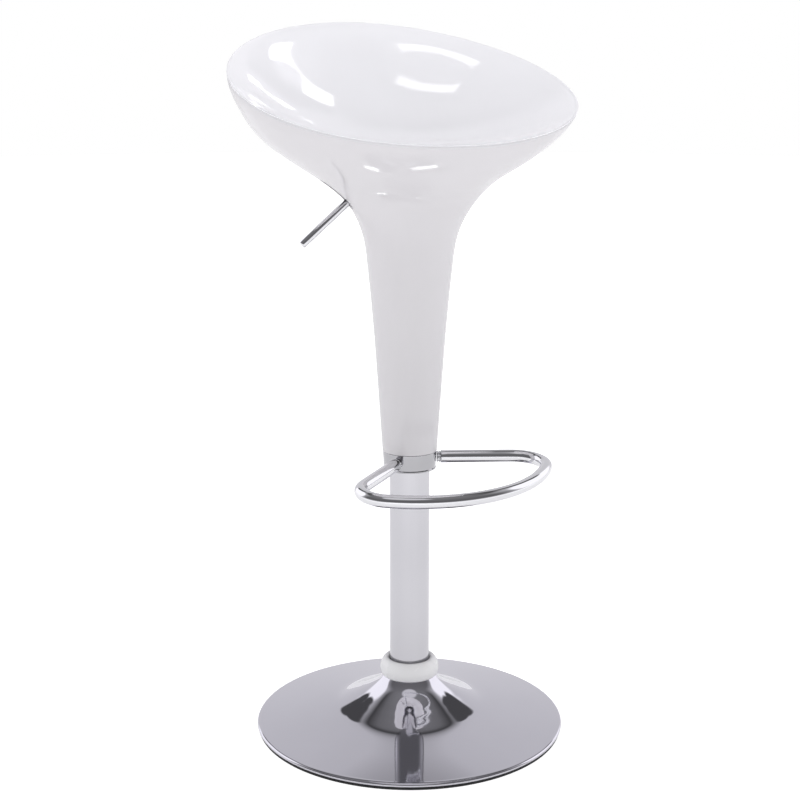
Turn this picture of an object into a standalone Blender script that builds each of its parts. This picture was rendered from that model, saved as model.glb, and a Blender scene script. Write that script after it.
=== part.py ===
"""Adjustable swivel bar stool: moulded bowl seat on a trumpet trunk, gas lift,
height lever, footrest loop and a round trumpet base.

Units: the constants are in millimetres and turned into metres when a mesh is made.
Frame: +Z up, the floor at Z = 0, the sitter faces -Y, the lever is at -X.
The column stands at X = 0, Y = AXIS_Y, so that the origin lies under the middle
of the whole stool. The stool is at the top of its travel.
"""
import math

import bmesh
import bpy
from mathutils import Matrix, Vector
from mathutils.bvhtree import BVHTree

MM = 0.001
GAP = 0.3            # running gap between touching pieces

# ---- driving dimensions, mm -------------------------------------------------
AXIS_Y = -13.5       # column axis, behind or ahead of the origin

BASE_R = 196.0       # trumpet base
NECK_R = 34.0        # top of the trumpet, under the trim ring
NECK_Z = 67.7
SHEET = 2.0          # pressed steel of the base

COLUMN_R = 25.0      # chrome column
COLUMN_WALL = 1.5
COLUMN_Z0, COLUMN_Z1 = 12.0, 402.0
TUBE_R = 14.0        # pressure tube of the gas spring
TUBE_WALL = 1.7
TUBE_Z0, TUBE_Z1 = 262.0, 703.0
ROD_R = 5.0
STROKE = 215.0       # gas lift travel, downwards from here

COLLAR_R0, COLLAR_R1 = 32.6, 33.6
COLLAR_Z0, COLLAR_Z1 = 342.3, 365.0

SEAT_W, SEAT_L = 426.0, 378.0     # rim outline, an ellipse a little narrower behind
RIM_Y, RIM_Z = 29.0, 804.9        # middle of the rim
RIM_SLOPE = 0.349                 # the rim's plane rises to the back
RIM_EGG, RIM_BEND = -0.046, -10.4
SEAT_DIP_Z = 737.5                # lowest point of the bowl
SEAT_DIP_Y = 2.0
PAN_WALL = 3.2
TRUNK_WALL = 3.0
TRUNK_Z0 = COLLAR_Z1 + GAP        # trunk stands on the collar
FLARE_Z0 = 600.0                  # the turned trunk becomes the lofted flare here

PLATE_Z = 692.0                   # mechanism plate, underside
PLATE_T = 3.0
PLATE_HALF = 46.0
SCREW_XY = 36.0

PIVOT = Vector((-37.0, 0.0, 711.8))           # lever pivot, from the column axis
LEVER_DOWN = math.radians(39.7)               # slope of the handle below level
LEVER_LEN = 131.7
LEVER_R = 4.75

LOOP_YAW = 0.25                   # the footrest is clamped turned a little to +X
LOOP_R = 8.0
LOOP_Z = 353.0
LOOP_DROP = -0.056
LOOP_SIDE, LOOP_ROOT = 28.0, 13.0
LOOP_ARM = math.radians(29.0)
LOOP_CORNER_R, LOOP_FRONT_R, LOOP_REACH = 35.7, 179.4, 165.9

# ---- scene ------------------------------------------------------------------
for ob in list(bpy.data.objects):
    bpy.data.objects.remove(ob, do_unlink=True)

PARTS = bpy.data.collections.new("adjustable_swivel_stool")
CUTS = bpy.data.collections.new("cutters")
for coll in (PARTS, CUTS):
    bpy.context.scene.collection.children.link(coll)


def material(name, rgb, rough, metal, coat=0.0):
    m = bpy.data.materials.new(name)
    m.use_nodes = True
    p = m.node_tree.nodes["Principled BSDF"]
    p.inputs["Base Color"].default_value = (*rgb, 1.0)
    p.inputs["Roughness"].default_value = rough
    p.inputs["Metallic"].default_value = metal
    p.inputs["Coat Weight"].default_value = coat
    m.diffuse_color = (*rgb, 1.0)
    return m


def frame_empty(name, at, parent=None):
    e = bpy.data.objects.new(name, None)
    e.empty_display_size = 0.03
    origin = Vector(at) * MM
    e["axis_point"] = tuple(at)
    if parent is None:
        e.location = origin
    else:
        e.parent = parent
        e.location = origin - Vector(parent["axis_point"]) * MM
    PARTS.objects.link(e)
    return e


STOOL = frame_empty("stool", (0, AXIS_Y, 0))
STOOL["axis_point"] = (0.0, 0.0, 0.0)
SWIVEL = frame_empty("swivel_axis", (0, 0, 0), STOOL)
LIFT = frame_empty("lift_axis", (0, 0, 0), SWIVEL)
LEVER = frame_empty("lever_axis", PIVOT, LIFT)
VALVE = frame_empty("valve_axis", (0, 0, 676), LIFT)


def new_object(name, mesh, parent, mat, coll=PARTS):
    ob = bpy.data.objects.new(name, mesh)
    coll.objects.link(ob)
    if parent is not None:
        at = Vector(parent["axis_point"]) * MM
        mesh.transform(Matrix.Translation(-at))
        ob.parent = parent
    if mat is not None:
        mesh.materials.clear()
        mesh.materials.append(mat)
    if coll is CUTS:
        ob.hide_render = True
        ob.display_type = "WIRE"
    return ob


def smooth(mesh, angle=35.0):
    mesh.shade_smooth()
    mesh.set_sharp_from_angle(angle=math.radians(angle))


def baked(ob):
    """The object's mesh as its modifiers leave it."""
    bpy.context.view_layer.update()
    dg = bpy.context.evaluated_depsgraph_get()
    return bpy.data.meshes.new_from_object(ob.evaluated_get(dg), depsgraph=dg)


def turned(name, outline, parent, mat, segs=32, coll=PARTS, angle=35.0):
    """A ring turned about the column axis from a closed (r, z) outline that runs
    down the outer side and back up the inner side. An outline whose first and
    last points have r = 0 makes a solid with no bore."""
    bore = outline[0][0] > 0.0
    mesh = bpy.data.meshes.new(name)
    bm = bmesh.new()
    vs = [bm.verts.new((r * MM, 0.0, z * MM)) for r, z in outline]
    for a, b in zip(vs, vs[1:]):
        bm.edges.new((a, b))
    if bore:
        bm.edges.new((vs[-1], vs[0]))
    bm.to_mesh(mesh)
    bm.free()
    tmp = bpy.data.objects.new(name + "_profile", mesh)
    PARTS.objects.link(tmp)
    mod = tmp.modifiers.new("Screw", "SCREW")
    mod.axis = "Z"
    mod.steps = segs
    mod.render_steps = segs
    mod.use_merge_vertices = True
    mod.merge_threshold = 0.00001
    out = baked(tmp)
    out.name = name
    bpy.data.objects.remove(tmp, do_unlink=True)
    bpy.data.meshes.remove(mesh)
    smooth(out, angle)
    return new_object(name, out, parent, mat, coll)


def tube(r_out, r_in, z0, z1, c=0.0):
    """Outline of a plain ring, with an outer chamfer c."""
    if c:
        return [(r_in, z1), (r_out - c, z1), (r_out, z1 - c), (r_out, z0 + c),
                (r_out - c, z0), (r_in, z0)]
    return [(r_in, z1), (r_out, z1), (r_out, z0), (r_in, z0)]


def bar(r, z0, z1, c=0.0):
    if c:
        return [(0, z1), (r - c, z1), (r, z1 - c), (r, z0 + c), (r - c, z0), (0, z0)]
    return [(0, z1), (r, z1), (r, z0), (0, z0)]


def rod_mesh(name, r, length, segs=24, chamfer=0.0):
    """A round bar along local +Z from 0 to length, as a mesh in metres."""
    mesh = bpy.data.meshes.new(name)
    bm = bmesh.new()
    bmesh.ops.create_cone(bm, cap_ends=True, cap_tris=False, segments=segs,
                          radius1=r * MM, radius2=r * MM, depth=length * MM)
    bmesh.ops.translate(bm, verts=bm.verts, vec=(0, 0, length * MM / 2))
    if chamfer:
        rims = [e for e in bm.edges
                if abs(e.verts[0].co.z - e.verts[1].co.z) < 1e-7]
        bmesh.ops.bevel(bm, geom=rims, offset=chamfer * MM, segments=2,
                        affect="EDGES", profile=0.5)
    bm.to_mesh(mesh)
    bm.free()
    smooth(mesh)
    return mesh


def aim(mesh, start, direction):
    """Turn a mesh that lies along +Z to run from start (mm) along direction."""
    q = Vector(direction).normalized().to_track_quat("Z", "Y")
    mesh.transform(Matrix.Translation(Vector(start) * MM) @ q.to_matrix().to_4x4())
    return mesh


def box_mesh(name, lo, hi):
    mesh = bpy.data.meshes.new(name)
    bm = bmesh.new()
    bmesh.ops.create_cube(bm, size=1.0)
    for v in bm.verts:
        for i in range(3):
            v.co[i] = ((lo[i] + hi[i]) / 2 + v.co[i] * (hi[i] - lo[i])) * MM
    bm.to_mesh(mesh)
    bm.free()
    return mesh


def boolean(ob, cutters, op="DIFFERENCE"):
    """Cut or join with mesh objects that share the part's parent, then keep the
    result as the part's mesh."""
    for c in cutters:
        mod = ob.modifiers.new(op.title(), "BOOLEAN")
        mod.operation = op
        mod.solver = "EXACT"
        mod.object = c
    out = baked(ob)
    old = ob.data
    mats = [m for m in old.materials]
    ob.modifiers.clear()
    out.materials.clear()
    for m in mats:
        out.materials.append(m)
    for p in out.polygons:
        p.material_index = 0
    ob.data = out
    bpy.data.meshes.remove(old)
    smooth(out)
    if op != "DIFFERENCE":
        for c in cutters:
            bpy.data.objects.remove(c, do_unlink=True)
    return ob


# ---- materials --------------------------------------------------------------
WHITE = material("white_abs", (0.86, 0.86, 0.88), 0.08, 0.0, 0.3)
WHITE_TRIM = material("white_trim", (0.88, 0.88, 0.89), 0.25, 0.0)
CHROME = material("chrome", (0.78, 0.78, 0.80), 0.05, 1.0)
STEEL = material("zinc_steel", (0.55, 0.56, 0.58), 0.35, 1.0)
IRON = material("black_iron", (0.05, 0.05, 0.055), 0.6, 0.6)
NYLON = material("black_nylon", (0.03, 0.03, 0.032), 0.45, 0.0)
RUBBER = material("black_rubber", (0.02, 0.02, 0.02), 0.8, 0.0)
BRASS = material("brass", (0.65, 0.50, 0.25), 0.3, 1.0)

# ---- base -------------------------------------------------------------------
BASE_OUT = [(NECK_R, NECK_Z), (35.2, 65.9), (38.3, 61.2), (44.5, 54.7), (53.0, 48.5),
            (64.0, 42.1), (76.0, 35.9), (87.0, 30.7), (94.0, 27.9), (101.0, 26.0),
            (120.0, 22.2), (150.0, 16.7), (180.0, 11.1), (191.0, 9.0),
            (195.0, 7.8), (BASE_R, 6.0), (195.3, 4.2), (193.6, 3.4)]
BASE_IN = [(192.4, 4.6), (190.0, 7.1), (150.0, 14.6), (98.0, 24.2), (84.0, 29.8),
           (62.0, 40.7), (43.0, 52.7), (34.2, 62.2), (32.0, NECK_Z)]
turned("base_cover", BASE_OUT + BASE_IN, STOOL, CHROME, 48)
turned("base_floor_ring",
       [(189.4, 6.0), (189.6, 3.1), (194.2, 2.8), (194.2, 0.0), (178.0, 0.0),
        (178.0, 3.0), (186.6, 3.2), (187.0, 6.0)], STOOL, RUBBER, 48)
turned("base_weight", tube(132.0, 46.0, 4.6, 9.4), STOOL, IRON, 32)
turned("base_socket",
       [(29.0, 66.6), (29.0, 17.0), (45.6, 15.6), (45.6, 4.0), (26.0, 4.0),
        (24.2 + GAP, 12.0), (COLUMN_R + GAP, 60.0), (COLUMN_R + GAP, 66.6)],
       STOOL, STEEL, 28)
turned("hub_trim_ring",
       [(26.2, 90.4), (28.6, 91.0), (31.4, 90.2), (34.6, 87.0), (36.8, 82.6),
        (37.4, 77.6), (37.1, 72.6), (35.8, 69.2), (34.2, 68.0), (COLUMN_R + 0.6, 68.0),
        (COLUMN_R + 0.6, 87.0)], STOOL, WHITE_TRIM, 36)
turned("outer_column",
       [(COLUMN_R - 0.6, COLUMN_Z1), (COLUMN_R, COLUMN_Z1 - 0.8), (COLUMN_R, 60.0),
        (24.2, COLUMN_Z0), (22.6, COLUMN_Z0), (COLUMN_R - COLUMN_WALL, 60.0),
        (COLUMN_R - COLUMN_WALL, COLUMN_Z1)], STOOL, CHROME, 40)
turned("column_guide_bush",
       [(TUBE_R + GAP, 405.0), (24.2, 405.0), (24.4, COLUMN_Z1 + GAP),
        (23.2, COLUMN_Z1 + GAP), (23.2, 306.0), (TUBE_R + GAP, 306.0)],
       STOOL, NYLON, 24)
turned("column_end_plate", tube(22.2, ROD_R + 0.4, 14.0, 18.0), STOOL, STEEL, 20)
turned("bearing_lower_race", tube(12.0, ROD_R + 0.4, 18.3, 20.3), STOOL, STEEL, 20)
turned("bearing_cage", tube(11.4, ROD_R + 0.6, 20.6, 23.6), STOOL, BRASS, 20)

# ---- piston rod and what turns with it --------------------------------------
turned("bearing_upper_race", tube(12.0, ROD_R + GAP, 23.9, 25.9), SWIVEL, STEEL, 20)
turned("bump_stop", tube(12.0, ROD_R + GAP, 26.2, 40.0, 2.0), SWIVEL, RUBBER, 20)
turned("piston_rod", bar(ROD_R, 9.0, 292.0, 0.8), SWIVEL, CHROME, 20)
turned("piston", tube(TUBE_R - TUBE_WALL - GAP, ROD_R + GAP, 281.0, 291.0),
       SWIVEL, BRASS, 20)
turned("rod_clip", tube(9.0, ROD_R + GAP, 11.8, 13.6), SWIVEL, STEEL, 20)

# ---- pressure tube ----------------------------------------------------------
BORE = TUBE_R - TUBE_WALL
PIN_R = 3.5
turned("pressure_tube",
       [(PIN_R + 0.4, TUBE_Z1), (TUBE_R - 1.4, TUBE_Z1), (TUBE_R, TUBE_Z1 - 1.6),
        (TUBE_R, TUBE_Z0 + 1.0), (TUBE_R - 0.6, TUBE_Z0), (BORE, TUBE_Z0),
        (BORE, 697.0), (PIN_R + 0.4, 697.0)], LIFT, STEEL, 24)
turned("tube_gland", tube(BORE - GAP, ROD_R + GAP, TUBE_Z0 + 1.0, 279.5), LIFT, NYLON, 20)
turned("valve_body",
       [(PIN_R + 0.4, 696.7), (BORE - GAP, 696.7), (BORE - GAP, 664.0),
        (PIN_R + 0.4, 664.0)], LIFT, BRASS, 20)
turned("valve_pin", bar(PIN_R, 676.0, 709.7, 0.5), VALVE, STEEL, 16)

# ---- mechanism under the seat -----------------------------------------------
turned("cylinder_socket",
       [(TUBE_R + GAP, PLATE_Z - GAP), (24.0, PLATE_Z - GAP), (24.0, PLATE_Z - 4.0),
        (19.0, PLATE_Z - 12.0), (17.4, 650.0), (TUBE_R + GAP, 650.0)],
       LIFT, STEEL, 24)

plate_mesh = box_mesh("mechanism_plate", (-PLATE_HALF, -PLATE_HALF, PLATE_Z),
                      (PLATE_HALF, PLATE_HALF, PLATE_Z + PLATE_T))
bm = bmesh.new()
bm.from_mesh(plate_mesh)
corners = [e for e in bm.edges if abs(e.verts[0].co.z - e.verts[1].co.z) > 0.001]
bmesh.ops.bevel(bm, geom=corners, offset=12.0 * MM, segments=3, affect="EDGES", profile=0.5)
bm.to_mesh(plate_mesh)
bm.free()
plate = new_object("mechanism_plate", plate_mesh, LIFT, STEEL)
cuts = [turned("cut_plate_bore", bar(TUBE_R + GAP, PLATE_Z - 4, PLATE_Z + 8), LIFT, None,
               24, CUTS),
        new_object("cut_plate_notch",
                   box_mesh("cut_plate_notch", (-60, -9, PLATE_Z - 4), (-41.5, 9, PLATE_Z + 8)),
                   LIFT, None, CUTS)]
SCREWS = [(sx * SCREW_XY, sy * SCREW_XY) for sy in (-1, 1) for sx in (-1, 1)]
for i, (x, y) in enumerate(SCREWS):
    m = aim(rod_mesh("cut_plate_hole_%d" % (i + 1), 3.4, 12.0, 12), (x, y, PLATE_Z - 4), (0, 0, 1))
    cuts.append(new_object(m.name, m, LIFT, None, CUTS))
boolean(plate, cuts)

# U-shaped bracket that carries the lever's pin
CHEEK_IN, CHEEK_OUT = 9.2, 12.0
bracket = new_object("lever_bracket",
                     box_mesh("lever_bracket", (-46, -CHEEK_OUT, PLATE_Z + PLATE_T + GAP),
                              (-25, CHEEK_OUT, 719.0)), LIFT, STEEL)
trough = new_object("cut_bracket_trough",
                    box_mesh("cut_bracket_trough", (-50, -CHEEK_IN, PLATE_Z + PLATE_T + 2.6),
                             (-20, CHEEK_IN, 725)), LIFT, None, CUTS)
mouth = new_object("cut_bracket_mouth",
                   box_mesh("cut_bracket_mouth", (-50, -CHEEK_IN, PLATE_Z - 2),
                            (-37, CHEEK_IN, 725)), LIFT, None, CUTS)
pin_cut = new_object("cut_bracket_pin",
                     aim(rod_mesh("cut_bracket_pin", 2.8, 40, 16),
                         PIVOT + Vector((0, -20, 0)), (0, 1, 0)), LIFT, None, CUTS)
boolean(bracket, [trough, mouth, pin_cut])
new_object("lever_pivot_pin",
           aim(rod_mesh("lever_pivot_pin", 2.5, 27.0, 16),
               PIVOT + Vector((0, -13.5, 0)), (0, 1, 0)), LIFT, STEEL)

for i, (x, y) in enumerate(SCREWS):
    zt = PLATE_Z - GAP
    prof = [(0, zt + 19.0), (1.6, zt + 19.0), (2.2, zt + 18.0), (2.2, zt + GAP),
            (2.2, zt), (5.2, zt), (5.6, zt - 1.2), (4.8, zt - 3.2), (0, zt - 3.6)]
    ob = turned("plate_screw_%d" % (i + 1), prof, None, STEEL, 12)
    ob.data.transform(Matrix.Translation((x * MM, y * MM, 0)))
    ob.parent = LIFT

# ---- lever ------------------------------------------------------------------
ALONG = Vector((-math.cos(LEVER_DOWN), 0, -math.sin(LEVER_DOWN)))
rocker = new_object("lever_rocker",
                    aim(rod_mesh("lever_rocker", 7.0, 17.0, 20),
                        PIVOT + Vector((0, -8.5, 0)), (0, 1, 0)), LEVER, STEEL)
paddle = new_object("join_paddle",
                    box_mesh("join_paddle", (-36.0, -6.0, 710.0), (6.0, 6.0, 713.0)),
                    LEVER, None, CUTS)
socket = new_object("join_rod_socket",
                    aim(rod_mesh("join_rod_socket", 7.2, 24.0, 20), PIVOT, ALONG),
                    LEVER, None, CUTS)
boolean(rocker, [paddle, socket], "UNION")
rocker_cuts = [
    new_object("cut_rocker_pin", aim(rod_mesh("cut_rocker_pin", 2.8, 40, 16),
                                     PIVOT + Vector((0, -20, 0)), (0, 1, 0)),
               LEVER, None, CUTS),
    new_object("cut_rocker_socket", aim(rod_mesh("cut_rocker_socket", LEVER_R + GAP, 40, 20),
                                        PIVOT + ALONG * 9.0, ALONG), LEVER, None, CUTS)]
boolean(rocker, rocker_cuts)
new_object("lever_handle",
           aim(rod_mesh("lever_handle", LEVER_R, LEVER_LEN - 9.4, 20, 0.8),
               PIVOT + ALONG * 9.4, ALONG), LEVER, CHROME)

# ---- seat surfaces ----------------------------------------------------------
N = 48               # points around each ring of the seat


def through(table, x):
    """Smooth curve through (x, y) pairs: cubic pieces with limited slopes."""
    n = len(table)
    d = [(table[i + 1][1] - table[i][1]) / (table[i + 1][0] - table[i][0])
         for i in range(n - 1)]
    s = [d[0]] + [0.0 if d[i - 1] * d[i] <= 0 else 2 * d[i - 1] * d[i] / (d[i - 1] + d[i])
                  for i in range(1, n - 1)] + [d[-1]]
    x = min(max(x, table[0][0]), table[-1][0])
    i = 0
    while i < n - 2 and x > table[i + 1][0]:
        i += 1
    (x0, y0), (x1, y1) = table[i], table[i + 1]
    h = x1 - x0
    t = (x - x0) / h
    return (y0 * (2 * t ** 3 - 3 * t * t + 1) + s[i] * h * (t ** 3 - 2 * t * t + t)
            + y1 * (3 * t * t - 2 * t ** 3) + s[i + 1] * h * (t ** 3 - t * t))


# how far a vertical line of the flare has drawn in, against how far it has come
# down, from rim (0, 0) to trunk (1, 1); LEAN draws the front in before the back
FLARE = [(0, 0), (0.08, 0.024), (0.18, 0.104), (0.30, 0.222), (0.45, 0.487),
         (0.60, 0.772), (0.75, 0.92), (0.88, 0.98), (1, 1)]
LEAN = [(0, 0), (0.08, 0.05), (0.18, 0.13), (0.30, 0.25), (0.45, 0.31), (0.60, 0.11),
        (0.75, 0.03), (0.88, 0.003), (1, 0)]


def trunk_radius(z):
    """Radius of the turned part of the trunk."""
    d = z - TRUNK_Z0
    return 34.0 + 0.066 * d + 2.75 * (d / 234.7) ** 4


def rim_point(t):
    c, s = math.cos(t), math.sin(t)
    x = SEAT_W / 2 * c * (1 + RIM_EGG * s)
    y = RIM_Y + SEAT_L / 2 * s + RIM_BEND * (c * c - 0.5)
    return Vector((x, y, RIM_Z + RIM_SLOPE * y))


def outer_point(t, h):
    """Outside of the flare; h runs from the rim (0) to the turned trunk (1)."""
    r = rim_point(t)
    s = math.sin(t)
    lean = -s if s < 0 else -s * (1 - 0.5 * s)
    w = through(FLARE, h) + lean * through(LEAN, h)
    rn = trunk_radius(FLARE_Z0)
    return Vector(((1 - w) * r.x + w * rn * math.cos(t),
                   (1 - w) * r.y + w * rn * s,
                   (1 - h) * r.z + h * FLARE_Z0))


# height of the bowl's back wall: a dish that steepens, then rolls over into the rim
ROLLED = [(0.0, 0.0), (0.12, 0.010), (0.25, 0.042), (0.38, 0.103), (0.50, 0.203),
          (0.62, 0.340), (0.74, 0.540), (0.86, 0.792), (0.94, 0.935), (1.0, 1.0)]


def inner_point(t, k):
    """Sitting surface; k runs from the dip (0) to the rim's inner edge (1)."""
    r = rim_point(t)
    dip = Vector((0, SEAT_DIP_Y, SEAT_DIP_Z))
    flat = Vector((r.x, r.y - dip.y, 0))
    edge = flat * (1 - 2.6 / flat.length)
    m = 0.5 + 0.5 * math.sin(t)
    g = k ** (2.6 + 0.3 * math.sin(t)) * (1 - m) + through(ROLLED, k) * m
    return Vector((dip.x + edge.x * k, dip.y + edge.y * k,
                   dip.z + (r.z - 0.9 - dip.z) * g))


def normal(f, t, u):
    e = 1e-3
    u0, u1 = max(u - e, 0.0), min(u + e, 1.0)
    a = f(t + e, u) - f(t - e, u)
    b = f(t, u1) - f(t, u0)
    return a.cross(b).normalized()


def under_point(t, k):
    """Underside of the pan: the sitting surface moved down by the wall."""
    n = normal(inner_point, t, max(k, 0.02))
    if n.z > 0:
        n = -n
    return inner_point(t, k) + n * PAN_WALL


def lip_depth(t):
    """Height of the pan's rim band, deeper at the steep back."""
    return 6.0 + 4.0 * (1 + math.sin(t))


def flare_at_depth(t, depth):
    return depth / (rim_point(t).z - FLARE_Z0)


def under_at_depth(t, depth):
    """The k at which the pan's underside is this far below the rim."""
    z = rim_point(t).z - depth
    lo, hi = 0.3, 1.0
    for _ in range(30):
        mid = (lo + hi) / 2
        if under_point(t, mid).z < z:
            lo = mid
        else:
            hi = mid
    return (lo + hi) / 2


def loft(name, rings, parent, mat, closed_top=None, closed_bottom=None, loop=False):
    """Skin ring after ring of N points. A pole point closes either end, or the
    last ring joins the first."""
    mesh = bpy.data.meshes.new(name)
    bm = bmesh.new()
    rows = [[bm.verts.new(p * MM) for p in ring] for ring in rings]
    pairs = list(zip(rows, rows[1:]))
    if loop:
        pairs.append((rows[-1], rows[0]))
    for a, b in pairs:
        for i in range(N):
            j = (i + 1) % N
            bm.faces.new((a[i], a[j], b[j], b[i]))
    for pole, row, flip in ((closed_top, rows[0], True), (closed_bottom, rows[-1], False)):
        if pole is not None:
            v = bm.verts.new(pole * MM)
            for i in range(N):
                j = (i + 1) % N
                bm.faces.new((v, row[j], row[i]) if flip else (v, row[i], row[j]))
    bmesh.ops.recalc_face_normals(bm, faces=bm.faces)
    bm.to_mesh(mesh)
    bm.free()
    smooth(mesh, 50)
    return new_object(name, mesh, parent, mat)


ANGLES = [2 * math.pi * i / N for i in range(N)]

rings = [[inner_point(t, k) for t in ANGLES]
         for k in (0.15, 0.32, 0.48, 0.62, 0.74, 0.84, 0.92, 0.97, 1.0)]
rings.append([rim_point(t) + (inner_point(t, 1.0) - rim_point(t)).normalized() * 1.2
              + Vector((0, 0, 0.35)) for t in ANGLES])
rings.append([rim_point(t) + Vector((0, 0, -0.9)) for t in ANGLES])
rings.append([outer_point(t, flare_at_depth(t, 0.55 * lip_depth(t))) for t in ANGLES])
rings.append([outer_point(t, flare_at_depth(t, lip_depth(t))) for t in ANGLES])
start = {t: under_at_depth(t, lip_depth(t)) for t in ANGLES}
for f in (1.0, 0.9, 0.78, 0.64, 0.48, 0.32, 0.15):
    rings.append([under_point(t, start[t] * f) for t in ANGLES])
pan = loft("seat_pan", rings, LIFT, WHITE,
           Vector((0, SEAT_DIP_Y, SEAT_DIP_Z)),
           Vector((0, SEAT_DIP_Y, SEAT_DIP_Z - PAN_WALL)))

# screw bosses under the pan, each ending inside its wall
tree = BVHTree.FromPolygons([v.co.copy() for v in pan.data.vertices],
                            [tuple(p.vertices) for p in pan.data.polygons])
bosses = []
for i, (x, y) in enumerate(SCREWS):
    hit = tree.ray_cast(Vector((x * MM, y * MM, 1.0)), Vector((0, 0, -1)))[0]
    top = hit.z / MM - 0.5 * PAN_WALL
    foot = PLATE_Z + PLATE_T + GAP
    m = aim(rod_mesh("join_boss_%d" % (i + 1), 6.5, top - foot, 16), (x, y, foot), (0, 0, 1))
    bosses.append(new_object(m.name, m, LIFT, None, CUTS))
boolean(pan, bosses, "UNION")
holes = []
for i, (x, y) in enumerate(SCREWS):
    m = aim(rod_mesh("cut_boss_%d" % (i + 1), 2.5, 30.0, 12),
            (x, y, PLATE_Z + PLATE_T - 10.0), (0, 0, 1))
    holes.append(new_object(m.name, m, LIFT, None, CUTS))
boolean(pan, holes)
smooth(pan.data, 50)


def trunk_inner(t, h):
    n = normal(outer_point, t, min(max(h, 0.01), 0.99))
    p = outer_point(t, h)
    if n.x * math.cos(t) + n.y * math.sin(t) > 0:
        n = -n
    return p + n * TRUNK_WALL


STEPS = [0.0, 0.05, 0.11, 0.18, 0.25, 0.32, 0.39, 0.46, 0.53, 0.61, 0.70, 0.80, 0.90]
seam = {t: flare_at_depth(t, lip_depth(t) + GAP) for t in ANGLES}
outer = [[outer_point(t, seam[t] + (1 - seam[t]) * f) for t in ANGLES] for f in STEPS]
LEVELS = [FLARE_Z0, 540.0, 480.0, 420.0, TRUNK_Z0]
for z in LEVELS:
    outer.append([Vector((trunk_radius(z) * math.cos(t), trunk_radius(z) * math.sin(t), z))
                  for t in ANGLES])
inner = []
for z in LEVELS[::-1]:
    r = trunk_radius(z) - TRUNK_WALL
    inner.append([Vector((r * math.cos(t), r * math.sin(t), z)) for t in ANGLES])
for f in STEPS[:0:-1]:
    inner.append([trunk_inner(t, seam[t] + (1 - seam[t]) * f) for t in ANGLES])
top = []
for t, p in zip(ANGLES, outer[0]):
    q = trunk_inner(t, seam[t])
    side = Vector((q.x - p.x, q.y - p.y, 0)).normalized()
    top.append(Vector((p.x, p.y, p.z)) + side * TRUNK_WALL)
inner.append(top)
trunk = loft("seat_trunk", outer + inner, LIFT, WHITE, loop=True)

# slot for the lever: a long hole running up the flare
SLOT_LOW, SLOT_HIGH, SLOT_W = Vector((-69.5, 0, 673.0)), Vector((-113.0, 0, 704.0)), 14.0
run = (SLOT_HIGH - SLOT_LOW)
out_dir = Vector((run.z, 0, -run.x)).normalized()
if out_dir.z > 0:
    out_dir = -out_dir
slot_mesh = bpy.data.meshes.new("cut_slot")
bm = bmesh.new()
r = SLOT_W / 2
ends = [(SLOT_LOW + run.normalized() * r, -1), (SLOT_HIGH - run.normalized() * r, 1)]
outline = []
for centre, sign in ends:
    for i in range(9):
        a = -math.pi / 2 + math.pi * i / 8
        outline.append(centre + run.normalized() * (sign * r * math.cos(a))
                       + Vector((0, sign * r * math.sin(a), 0)))
face = bm.faces.new([bm.verts.new((p - out_dir * 14) * MM) for p in outline])
ext = bmesh.ops.extrude_face_region(bm, geom=[face])
bmesh.ops.translate(bm, verts=[v for v in ext["geom"] if isinstance(v, bmesh.types.BMVert)],
                    vec=out_dir * 30 * MM)
bmesh.ops.recalc_face_normals(bm, faces=bm.faces)
bm.to_mesh(slot_mesh)
bm.free()
slot = new_object("cut_slot", slot_mesh, LIFT, None, CUTS)
boolean(trunk, [slot])
smooth(trunk.data, 50)

# ---- inner tube, collar and footrest ----------------------------------------
turned("support_tube", tube(28.0, 26.0, 362.2, PLATE_Z - GAP), LIFT, STEEL, 28)
turned("footrest_collar",
       [(28.4, 384.0), (30.4, 384.0), (30.4, COLLAR_Z1),
        (COLLAR_R1 - 0.5, COLLAR_Z1), (COLLAR_R1, COLLAR_Z1 - 0.6),
        (COLLAR_R0, COLLAR_Z0 + 0.8), (COLLAR_R0 - 0.8, COLLAR_Z0), (28.4, COLLAR_Z0)],
       LIFT, CHROME, 36)
turned("collar_bush", tube(28.1, COLUMN_R + 0.4, COLLAR_Z0 - 1.2, 361.9), LIFT, NYLON, 28)

side0 = Vector((LOOP_SIDE, LOOP_ROOT))
arm = Vector((math.cos(LOOP_ARM), math.sin(LOOP_ARM)))
across = Vector((-arm.y, arm.x))
front_centre = Vector((0, LOOP_REACH - LOOP_FRONT_R))
p = side0 + across * LOOP_CORNER_R - front_centre
b = p.dot(arm)
s_len = -b + math.sqrt(b * b - (p.dot(p) - (LOOP_FRONT_R - LOOP_CORNER_R) ** 2))
corner = side0 + arm * s_len + across * LOOP_CORNER_R
a0 = math.atan2(-across.y, -across.x)
v = corner - front_centre
a1 = math.atan2(v.y, v.x)
root = math.sqrt(max((COLLAR_R1 + 5.4) ** 2 - (side0.x * across.x + side0.y * across.y) ** 2, 1.0)) \
    - (side0.x * arm.x + side0.y * arm.y)
half = [side0 + arm * root, side0 + arm * s_len]
half += [corner + LOOP_CORNER_R * Vector((math.cos(a), math.sin(a)))
         for a in [a0 + (a1 - a0) * i / 10 for i in range(1, 11)]]
half += [front_centre + LOOP_FRONT_R * Vector((math.cos(a), math.sin(a)))
         for a in [a1 + (math.pi / 2 - a1) * i / 9 for i in range(1, 10)]]
half.append(Vector((0, LOOP_REACH)))
full = half + [Vector((-q.x, q.y)) for q in reversed(half[:-1])]


def loop_point(q):
    """Side and forward distances in the loop's plane to the stool's frame."""
    c, s = math.cos(LOOP_YAW), math.sin(LOOP_YAW)
    return Vector((q.x * c + q.y * s, q.x * s - q.y * c,
                   LOOP_Z + LOOP_DROP * (q.y - 30.0)))


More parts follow.
